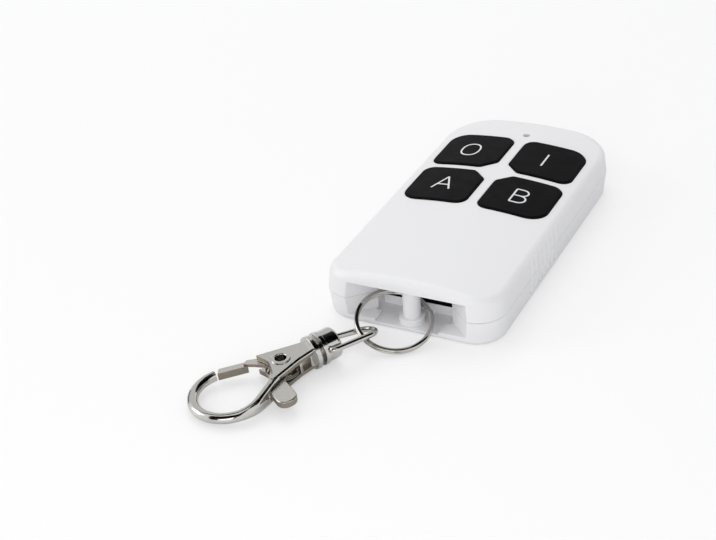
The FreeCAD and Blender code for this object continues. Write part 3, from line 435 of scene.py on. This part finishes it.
@dataclass
class KeyLegends:
    """The four printed letters, drawn as strokes that lie on the crowned key tops.

    Sizes in millimetres. The first four sizes give the curve of the key tops, as in the CAD;
    centres are in plan; layer_step lifts each further stroke of a letter over the last. A bowl
    is its reach right of the letter's middle and the width of its round end.
    """

    paintbox: Paintbox
    case_half_width: float = 17.5
    crown_drop: float = 1.65
    case_height: float = 10.7
    key_proud: float = 0.38
    stroke: float = 0.35
    height: float = 5.3
    thickness: float = 0.02
    layer_step: float = 0.002
    longest_part: float = 0.3
    a_half_width: float = 1.86
    a_bar_drop: float = 0.32
    o_half_width: float = 1.85
    o_power: float = 2.3
    o_parts: int = 64
    b_stem: float = -1.5
    b_waist: float = 0.12
    b_upper_bowl: Point = (1.18, 1.24)
    b_lower_bowl: Point = (1.38, 1.36)
    bowl_parts: int = 16
    centres: dict[str, Point] = field(
        default_factory=lambda: {
            "off": (-8.45, 17.86),
            "on": (7.5, 18.07),
            "a": (-8.0, 2.78),
            "b": (8.17, 2.26),
        }
    )

    def surface(self, x: float) -> float:
        """Gives the height of the key tops at a place across the case.

        Args:
            x: distance from the middle, in millimetres.

        Returns:
            Height in millimetres.
        """
        half, drop = self.case_half_width, self.crown_drop
        radius = (half**2 + drop**2) / (2 * drop)
        outer = radius + self.key_proud
        return self.case_height - radius + math.sqrt(outer**2 - x**2)

    def strokes(self, key: str) -> list[Line]:
        """Gives a letter's centre lines about its middle.

        Args:
            key: which key.

        Returns:
            Polylines in millimetres; a closed one repeats its first point.
        """
        top = self.height / 2 - self.stroke / 2
        if key == "on":
            return [[(0, -top), (0, top)]]
        if key == "off":
            return [self.rounded_loop(self.o_half_width, top, self.o_power)]
        if key == "a":
            bar = -top * self.a_bar_drop
            half = self.a_half_width
            side = half * (top - bar) / (2 * top)
            return [[(-half, -top), (0, top)], [(0, top), (half, -top)], [(-side, bar), (side, bar)]]
        return [
            [(self.b_stem, -top), (self.b_stem, top)],
            self.bowl(top, self.b_waist, *self.b_upper_bowl),
            self.bowl(self.b_waist, -top, *self.b_lower_bowl),
        ]

    def rounded_loop(self, half_width: float, half_height: float, power: float) -> Line:
        """Draws a closed superellipse.

        Args:
            half_width: half its width.
            half_height: half its height.
            power: 2 for an ellipse, more for squarer.

        Returns:
            The closed polyline.
        """
        points = []
        for k in range(self.o_parts + 1):
            angle = math.tau * k / self.o_parts
            c, s = math.cos(angle), math.sin(angle)
            x = math.copysign(abs(c) ** (2 / power), c) * half_width
            y = math.copysign(abs(s) ** (2 / power), s) * half_height
            points.append((x, y))
        return points

    def bowl(self, top: float, bottom: float, reach: float, radius: float) -> Line:
        """Draws one bowl of the letter B from its stem and back.

        Args:
            top: height of its upper line.
            bottom: height of its lower line.
            reach: how far it goes right of the middle.
            radius: how wide its round end is.

        Returns:
            The polyline.
        """
        half, middle = (top - bottom) / 2, (top + bottom) / 2
        points = [(self.b_stem, top)]
        for k in range(self.bowl_parts + 1):
            angle = math.pi / 2 - math.pi * k / self.bowl_parts
            points.append((reach - radius + radius * math.cos(angle), middle + half * math.sin(angle)))
        points.append((self.b_stem, bottom))
        return points

    def subdivided(self, line: Line) -> Line:
        """Splits a polyline's long parts, so that the ribbon follows the crown.

        Args:
            line: the polyline.

        Returns:
            The same line with no part longer than longest_part.
        """
        points = [line[0]]
        for (x0, y0), (x1, y1) in zip(line, line[1:]):
            parts = max(1, math.ceil(math.hypot(x1 - x0, y1 - y0) / self.longest_part))
            points += [(x0 + (x1 - x0) * k / parts, y0 + (y1 - y0) * k / parts) for k in range(1, parts + 1)]
        return points

    def ribbon(self, built: bmesh.types.BMesh, line: Line, lift: float, centre: Point) -> None:
        """Adds one stroke as a thin closed ribbon on the key's surface.

        Args:
            built: the mesh under construction, in metres.
            line: the stroke's centre line about the letter's middle.
            lift: height of its top over the key.
            centre: the letter's middle in plan.
        """
        closed = line[0] == line[-1]
        points = self.subdivided(line)
        last = len(points) - 1
        rows = []
        for k, (x, y) in enumerate(points):
            before = points[k - 1] if k else (points[-2] if closed else points[0])
            after = points[k + 1] if k < last else (points[1] if closed else points[-1])
            way = Vector((after[0] - before[0], after[1] - before[1])).normalized()
            row = []
            for side, over in ((1, lift), (-1, lift), (-1, -self.thickness), (1, -self.thickness)):
                px = centre[0] + x - way.y * side * self.stroke / 2
                py = centre[1] + y + way.x * side * self.stroke / 2
                pz = self.surface(px) + over
                row.append(built.verts.new((px * MM, py * MM, pz * MM)))
            rows.append(row)
        for first, second in zip(rows, rows[1:]):
            for k in range(len(first)):
                following = (k + 1) % len(first)
                built.faces.new((first[k], first[following], second[following], second[k]))
        if not closed:
            built.faces.new(reversed(rows[0]))
            built.faces.new(rows[-1])

    def build(self) -> list[bpy.types.Object]:
        """Builds one mesh per key and lets it ride on that key.

        Returns:
            The letter objects.
        """
        made = []
        for key in KEY_NAMES:
            built = bmesh.new()
            for k, line in enumerate(self.strokes(key)):
                self.ribbon(built, line, self.thickness + self.layer_step * k, self.centres[key])
            bmesh.ops.recalc_face_normals(built, faces=built.faces)
            mesh = bpy.data.meshes.new("legend_" + key)
            built.to_mesh(mesh)
            built.free()
            letter = add_object("legend_" + key, mesh)
            self.paintbox.paint(letter, Finish.LEGEND)
            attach(letter, "key_" + key)
            made.append(letter)
        return made


class RuleMesh:
    """A Geometry Nodes tree with named size inputs that is turned into one plain mesh."""

    def __init__(self, name: str, lengths: dict[str, float], counts: dict[str, int] | None = None) -> None:
        """Starts a tree with a geometry output and one input for each size.

        Args:
            name: the tree's name.
            lengths: input name to its length in millimetres.
            counts: input name to its whole number.
        """
        self.name = name
        self.values = dict(counts or {})
        self.values.update({key: length * MM for key, length in lengths.items()})
        self.tree = bpy.data.node_groups.new(name, "GeometryNodeTree")
        self.tree.interface.new_socket("Geometry", in_out="OUTPUT", socket_type="NodeSocketGeometry")
        for key, value in self.values.items():
            kind = "NodeSocketInt" if isinstance(value, int) else "NodeSocketFloat"
            self.tree.interface.new_socket(key, in_out="INPUT", socket_type=kind)
        self.sizes = self.tree.nodes.new("NodeGroupInput").outputs

    def node(self, kind: str, inputs: dict | None = None, **settings: object) -> bpy.types.Node:
        """Adds a node to the tree in the way of add_node and gives it back."""
        return add_node(self.tree, kind, inputs, **settings)

    def maths(
        self, operation: str, first: float | bpy.types.NodeSocket, second: float | bpy.types.NodeSocket
    ) -> bpy.types.NodeSocket:
        """Adds a Math node for two numbers or sockets and gives its result's socket."""
        return self.node("ShaderNodeMath", {0: first, 1: second}, operation=operation).outputs[0]

    def vector(self, **parts: float | bpy.types.NodeSocket) -> bpy.types.NodeSocket:
        """Adds a vector from X, Y and Z, of which one left out is 0, and gives its socket."""
        return self.node("ShaderNodeCombineXYZ", parts).outputs[0]

    def bake(self, geometry: bpy.types.NodeSocket, material: bpy.types.Material) -> bpy.types.Object:
        """Ends the tree in real geometry with a material and turns it into a plain object.

        Args:
            geometry: the tree's result.
            material: the finish that it gets.

        Returns:
            An object with a plain mesh and no modifier.
        """
        real = self.node("GeometryNodeRealizeInstances", {"Geometry": geometry})
        painted = self.node("GeometryNodeSetMaterial", {"Geometry": real.outputs[0], "Material": material})
        out = self.tree.nodes.new("NodeGroupOutput")
        self.tree.links.new(painted.outputs[0], out.inputs[0])
        holder = add_object(self.name + "_rule", bpy.data.meshes.new(self.name + "_rule"))
        modifier = holder.modifiers.new(self.name, "NODES")
        modifier.node_group = self.tree
        for item in self.tree.interface.items_tree:
            if item.in_out == "INPUT":
                modifier[item.identifier] = self.values[item.name]
        seen = holder.evaluated_get(bpy.context.evaluated_depsgraph_get())
        mesh = bpy.data.meshes.new_from_object(seen)
        bpy.data.objects.remove(holder)
        mesh.name = self.name
        return add_object(self.name, mesh)


@dataclass
class BoardDetails:
    """The encoder chip's legs and the aerial track on the circuit board.

    Sizes in millimetres. foot_middle and shank_middle are parts of leg_reach from the chip, and
    gap is how far everything stands off the board.
    """

    paintbox: Paintbox
    board_top: float = 6.2
    chip_middle: float = -12.0
    chip_half_width: float = 2.45
    legs_per_side: int = 4
    leg_pitch: float = 1.27
    leg_width: float = 0.42
    leg_reach: float = 0.95
    leg_rise: float = 0.55
    leg_thickness: float = 0.16
    gap: float = 0.006
    foot_middle: float = 0.745
    shank_middle: float = 0.25
    track_width: float = 1.1
    track_thickness: float = 0.035
    track_corner: float = 1.5
    track_corner_points: int = 8
    track_sides: Point = (-14.9, -4.6)
    track_ends: Point = (-18.2, -7.2)

    def build_legs(self) -> bpy.types.Object:
        """Builds both rows of legs: a foot on the board and a shank up to the chip, repeated.

        Returns:
            The legs, riding on the case.
        """
        rule = RuleMesh(
            "chip_legs",
            {
                "Pitch": self.leg_pitch,
                "Width": self.leg_width,
                "Reach": self.leg_reach,
                "Rise": self.leg_rise,
                "Thickness": self.leg_thickness,
                "Half Width": self.chip_half_width,
            },
            {"Legs": self.legs_per_side},
        )
        size = rule.sizes
        half_reach = rule.maths("MULTIPLY", size["Reach"], 0.5)
        joined = rule.node("GeometryNodeJoinGeometry")
        for middle, height in ((self.foot_middle, size["Thickness"]), (self.shank_middle, size["Rise"])):
            box = rule.vector(X=half_reach, Y=size["Width"], Z=height)
            out = rule.maths("ADD", rule.maths("MULTIPLY", size["Reach"], middle), size["Half Width"])
            place = rule.vector(X=out, Z=rule.maths("MULTIPLY", height, 0.5))
            cube = rule.node("GeometryNodeMeshCube", {"Size": box})
            moved = rule.node(
                "GeometryNodeTransform", {"Geometry": cube.outputs["Mesh"], "Translation": place}
            )
            rule.tree.links.new(moved.outputs[0], joined.inputs[0])
        turned = rule.node(
            "GeometryNodeTransform", {"Geometry": joined.outputs[0], "Rotation": (0, 0, math.pi)}
        )
        pair = rule.node("GeometryNodeJoinGeometry")
        rule.tree.links.new(joined.outputs[0], pair.inputs[0])
        rule.tree.links.new(turned.outputs[0], pair.inputs[0])
        spread = rule.maths("MULTIPLY", rule.maths("SUBTRACT", size["Legs"], 1.0), size["Pitch"])
        line = rule.node(
            "GeometryNodeMeshLine",
            {
                "Count": size["Legs"],
                "Start Location": rule.vector(Y=rule.maths("MULTIPLY", spread, -0.5)),
                "Offset": rule.vector(Y=size["Pitch"]),
            },
        )
        row = rule.node(
            "GeometryNodeInstanceOnPoints", {"Points": line.outputs["Mesh"], "Instance": pair.outputs[0]}
        )
        legs = rule.bake(row.outputs["Instances"], self.paintbox.get(Finish.TINNED))
        place = Vector((0, self.chip_middle, self.board_top + self.gap)) * MM
        legs.data.transform(Matrix.Translation(place))
        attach(legs, "case")
        return legs

    def build_track(self) -> bpy.types.Object:
        """Builds the aerial: a flat track that runs round one end of the board.

        Returns:
            The track, riding on the case.
        """
        rule = RuleMesh(
            "aerial_track",
            {
                "Width": self.track_width,
                "Thickness": self.track_thickness,
                "Across": self.track_sides[1] - self.track_sides[0],
                "Along": self.track_ends[1] - self.track_ends[0],
                "Corner": self.track_corner,
            },
        )
        size = rule.sizes
        loop = rule.node(
            "GeometryNodeCurvePrimitiveQuadrilateral", {"Width": size["Across"], "Height": size["Along"]}
        )
        rounded = rule.node(
            "GeometryNodeFilletCurve",
            {"Curve": loop.outputs[0], "Radius": size["Corner"], "Count": self.track_corner_points},
            mode="POLY",
        )
        profile = rule.node(
            "GeometryNodeCurvePrimitiveQuadrilateral", {"Width": size["Width"], "Height": size["Thickness"]}
        )
        track = rule.node(
            "GeometryNodeCurveToMesh", {"Curve": rounded.outputs[0], "Profile Curve": profile.outputs[0]}
        )
        made = rule.bake(track.outputs[0], self.paintbox.get(Finish.TRACK))
        height = self.board_top + self.track_thickness / 2
        place = Vector((sum(self.track_sides) / 2, sum(self.track_ends) / 2, height))
        place += Vector((0, 0, self.gap))
        made.data.transform(Matrix.Translation(place * MM))
        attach(made, "case")
        return made

    def build(self) -> list[bpy.types.Object]:
        """Builds the legs and the track."""
        return [self.build_legs(), self.build_track()]


@dataclass
class CoverInside:
    """The inner faces of the two covers, behind the bay, that take a near-black painted shade.

    Sizes in millimetres. A face over the ceiling that looks up more than upward, or one at a
    side wall or the far wall that looks out of the case, is on the outside.
    """

    paintbox: Paintbox
    front: float = -27.7
    half_width: float = 16.35
    far: float = 33.6
    low: float = 1.35
    high: float = 9.35
    ceiling: float = 7.5
    wall: float = 14.0
    far_wall: float = 29.0
    upward: float = 0.02

    def paint(self) -> None:
        """Gives the inner faces of both covers the near-black painted shade."""
        # The inside of the case is coloured near black as painted shade.
        for name in ("top_cover", "bottom_cover"):
            self.paintbox.paint_faces(name, Finish.PAINTED_SHADE_INSIDE, self.inside)

    def inside(self, place: Vector, normal: Vector) -> bool:
        """Tells whether a face bounds the closed inner space.

        Args:
            place: the face's middle in millimetres.
            normal: the face's normal.

        Returns:
            True inside.
        """
        across = abs(place.x) < self.half_width and self.front < place.y < self.far
        outer = normal.z > self.upward and place.z > self.ceiling
        at_wall = abs(place.x) > self.wall or place.y > self.far_wall
        sideways = at_wall and normal.x * place.x + normal.y * place.y > 0
        return across and self.low < place.z < self.high and not outer and not sideways


@dataclass
class SnapSides:
    """The side walls of the snap's two castings, between the polished faces: rougher as cast, and darker in
    colour as painted shade.

    up and along are the snap's own directions, and neck, in millimetres, is where its body
    begins. The limits are how far a side wall's normal may lean towards up, and reach is the
    stretch of the body from the neck, in millimetres, that counts.
    """

    paintbox: Paintbox
    up: Place = (-0.0410, -0.0710, 0.9966)
    along: Place = (-0.4983, -0.8631, -0.0819)
    neck: Place = (-10.78, -49.95, 3.18)
    lever_limit: float = 0.35
    body_limit: float = 0.12
    reach: Point = (1.9, 11.5)

    def paint(self) -> None:
        """Gives the side walls of the gate, and of the body between neck and hook, the rougher cast finish,
        darker in colour as painted shade.
        """
        # Side walls, chosen by which way they face, get a darker colour as painted shade.
        self.paintbox.paint_faces("gate", Finish.CAST_NICKEL_WITH_PAINTED_SHADE, self.beside_lever)
        self.paintbox.paint_faces("clasp_body", Finish.CAST_NICKEL_WITH_PAINTED_SHADE, self.beside_body)

    def beside_lever(self, place: Vector, normal: Vector) -> bool:
        """Tells from its normal whether a face of the lever is a side wall, at any place."""
        return abs(normal.dot(Vector(self.up))) < self.lever_limit

    def beside_body(self, place: Vector, normal: Vector) -> bool:
        """Tells whether a face of the body is a side wall between neck and hook.

        Args:
            place: the face's middle in millimetres.
            normal: the face's normal.

        Returns:
            True on a side wall.
        """
        distance = (place - Vector(self.neck)).dot(Vector(self.along))
        near = self.reach[0] < distance < self.reach[1]
        return near and abs(normal.dot(Vector(self.up))) < self.body_limit


@dataclass
class Table:
    """The pale table under the object; sizes in metres.

    lift is the share of white light that the camera sees added, so that it is white where no
    shadow falls.
    """

    half_size: float = 4.0
    colour: str = "F4F4F5"
    roughness: float = 0.35
    specular: float = 0.3
    lift: float = 0.45

    def build(self) -> list[bpy.types.Object]:
        """Builds a flat floor at height zero.

        Returns:
            The floor object, alone in a list.
        """
        mesh = rectangle("table", self.half_size, self.half_size)
        floor = add_object("table", mesh)
        material = bpy.data.materials.new("table")
        material.use_nodes = True
        tree = material.node_tree
        shader = tree.nodes["Principled BSDF"]
        shader.inputs["Base Color"].default_value = linear(self.colour)
        shader.inputs["Roughness"].default_value = self.roughness
        shader.inputs["Specular IOR Level"].default_value = self.specular
        path = add_node(tree, "ShaderNodeLightPath")
        lift = add_node(
            tree, "ShaderNodeMapRange",
            {"Value": path.outputs["Is Camera Ray"], "To Min": 0.0, "To Max": self.lift},
        )
        white = add_node(tree, "ShaderNodeEmission", {"Color": WHITE, "Strength": 1.0})
        mixed = add_node(
            tree, "ShaderNodeMixShader",
            {0: lift.outputs["Result"], 1: shader.outputs["BSDF"], 2: white.outputs["Emission"]},
        )
        tree.links.new(mixed.outputs["Shader"], tree.nodes["Material Output"].inputs["Surface"])
        mesh.materials.append(material)
        return [floor]


@dataclass(frozen=True)
class SoftBox:
    """A square lamp aimed at a point; places and size in metres, power in watts."""

    name: str
    place: Place
    target: Place
    size: float
    power: float

    def build(self) -> bpy.types.Object:
        """Builds the lamp.

        Returns:
            The lamp object.
        """
        light = bpy.data.lights.new(self.name, "AREA")
        light.size = self.size
        light.energy = self.power
        lamp = add_object(self.name, light)
        lamp.location = self.place
        way = Vector(self.target) - Vector(self.place)
        lamp.rotation_euler = way.to_track_quat("-Z", "Y").to_euler()
        return lamp


@dataclass(frozen=True)
class Card:
    """A card that stands round the table and only shows as a reflection in gloss and metal.

    turn is its direction round the table in degrees, 0 at -Y and growing towards +X, and rise
    its height above the table in degrees, both from centre. Other sizes are in metres.
    """

    name: str
    turn: float
    rise: float
    width: float
    height: float
    colour: str = DARK_CARD
    distance: float = 0.6
    centre: Place = (-0.01, -0.04, 0.0)

    def build(self) -> bpy.types.Object:
        """Builds the card, which faces the object, casts no shadow and lights nothing.

        Returns:
            The card object.
        """
        mesh = rectangle(self.name, self.width / 2, self.height / 2)
        material = bpy.data.materials.new(self.name)
        material.use_nodes = True
        tree = material.node_tree
        tree.nodes.clear()
        glow = add_node(tree, "ShaderNodeEmission", {"Color": linear(self.colour), "Strength": 1.0})
        out = add_node(tree, "ShaderNodeOutputMaterial")
        tree.links.new(glow.outputs["Emission"], out.inputs["Surface"])
        mesh.materials.append(material)
        way = direction(self.turn, self.rise)
        thing = add_object(self.name, mesh)
        thing.location = Vector(self.centre) + way * self.distance
        thing.rotation_euler = way.to_track_quat("Z", "Y").to_euler()
        thing.visible_camera = False
        thing.visible_diffuse = False
        thing.visible_shadow = False
        thing.visible_transmission = False
        return thing


@dataclass
class Studio:
    """The world, the lamps and the cards.

    Camera, glossy and transmission rays see a white world; everything else gets ambient.
    """

    ambient: float = 0.74
    lamps: tuple[SoftBox, ...] = (
        SoftBox("key_light", (-0.25, 0.35, 0.7), (0.0, 0.0, 0.0), size=0.5, power=1.25),
        SoftBox("front_light", (0.12, -0.6, 0.25), (0.0, -0.02, 0.0), size=0.4, power=1.2),
        SoftBox("left_light", (-0.6, -0.25, 0.3), (-0.01, -0.04, 0.0), size=0.35, power=0.8),
    )
    cards: tuple[Card, ...] = (
        Card("card_over", turn=5.0, rise=40.0, width=0.8, height=0.84),
        Card("card_back", turn=214.0, rise=37.0, width=0.9, height=0.46, colour="DEDEDE"),
        Card("card_right", turn=128.0, rise=49.0, width=0.8, height=0.74),
        Card("card_far", turn=195.0, rise=70.0, width=1.0, height=0.24),
        Card("card_left", turn=252.0, rise=5.0, width=0.24, height=0.2),
    )

    def build_world(self) -> None:
        """Builds the world: white where it is seen, soft grey light elsewhere."""
        world = bpy.data.worlds.new("studio")
        bpy.context.scene.world = world
        world.use_nodes = True
        tree = world.node_tree
        tree.nodes.clear()
        path = add_node(tree, "ShaderNodeLightPath").outputs
        direct = add_node(
            tree, "ShaderNodeMath", {0: path["Is Camera Ray"], 1: path["Is Transmission Ray"]},
            operation="MAXIMUM",
        )
        seen = add_node(
            tree, "ShaderNodeMath", {0: direct.outputs[0], 1: path["Is Glossy Ray"]}, operation="MAXIMUM"
        )
        strength = add_node(
            tree, "ShaderNodeMapRange", {"Value": seen.outputs[0], "To Min": self.ambient, "To Max": 1.0}
        )
        back = add_node(
            tree, "ShaderNodeBackground", {"Color": WHITE, "Strength": strength.outputs["Result"]}
        )
        out = add_node(tree, "ShaderNodeOutputWorld")
        tree.links.new(back.outputs["Background"], out.inputs["Surface"])

    def build(self) -> list[bpy.types.Object]:
        """Builds the world, then the lamps and the cards, which it gives back."""
        self.build_world()
        return [part.build() for part in (*self.lamps, *self.cards)]


@dataclass
class PhotoCamera:
    """The camera at the photograph's viewing angle, solved from the case and the key grid.

    Angles in degrees, distance, target and clip in metres, the sensor in millimetres.
    """

    azimuth: float = 27.744
    elevation: float = 31.030
    roll: float = -3.967
    distance: float = 0.29996
    target: Place = (-0.01791, -0.01768, 0.0)
    focal_px: float = 1545.19
    width_px: float = 716.0
    sensor_width: float = 36.0
    clip: Point = (0.01, 50.0)

    def build(self) -> list[bpy.types.Object]:
        """Builds the camera and makes it the scene's own.

        Returns:
            The camera object, alone in a list.
        """
        data = bpy.data.cameras.new("photo_camera")
        data.sensor_width = self.sensor_width
        data.lens = self.focal_px / self.width_px * data.sensor_width
        data.clip_start, data.clip_end = self.clip
        back = direction(self.azimuth, self.elevation)
        right = (-back).cross(Vector((0, 0, 1))).normalized()
        up = right.cross(-back)
        lean = math.radians(self.roll)
        side = right * math.cos(lean) + up * math.sin(lean)
        top = up * math.cos(lean) - right * math.sin(lean)
        place = Matrix.Translation(Vector(self.target) + back * self.distance)
        camera = add_object("photo_camera", data)
        camera.matrix_world = place @ Matrix((side, top, back)).transposed().to_4x4()
        bpy.context.scene.camera = camera
        return [camera]


def dress_cad_nodes(paintbox: Paintbox) -> None:
    """Gives every CAD node its finish and smooth shading.

    Args:
        paintbox: the finishes.
    """
    for name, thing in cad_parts.items():
        paintbox.paint(thing, CAD_FINISHES[name])
        smooth_by_angle(thing, SHARP_EDGE_DEGREES)
        LOG.info("dressed %s as %s", name, CAD_FINISHES[name].value)


def main() -> None:
    """Builds the whole scene and logs each piece."""
    logging.basicConfig(level=logging.INFO, format="%(message)s")
    paintbox = Paintbox()
    dress_cad_nodes(paintbox)
    CoverInside(paintbox).paint()
    SnapSides(paintbox).paint()
    for group in (KeyLegends(paintbox), BoardDetails(paintbox), Table(), Studio(), PhotoCamera()):
        for piece in group.build():
            LOG.info("built %s", piece.name)
    bpy.context.scene.view_settings.view_transform = "Standard"


if __name__ == "__main__":
    main()
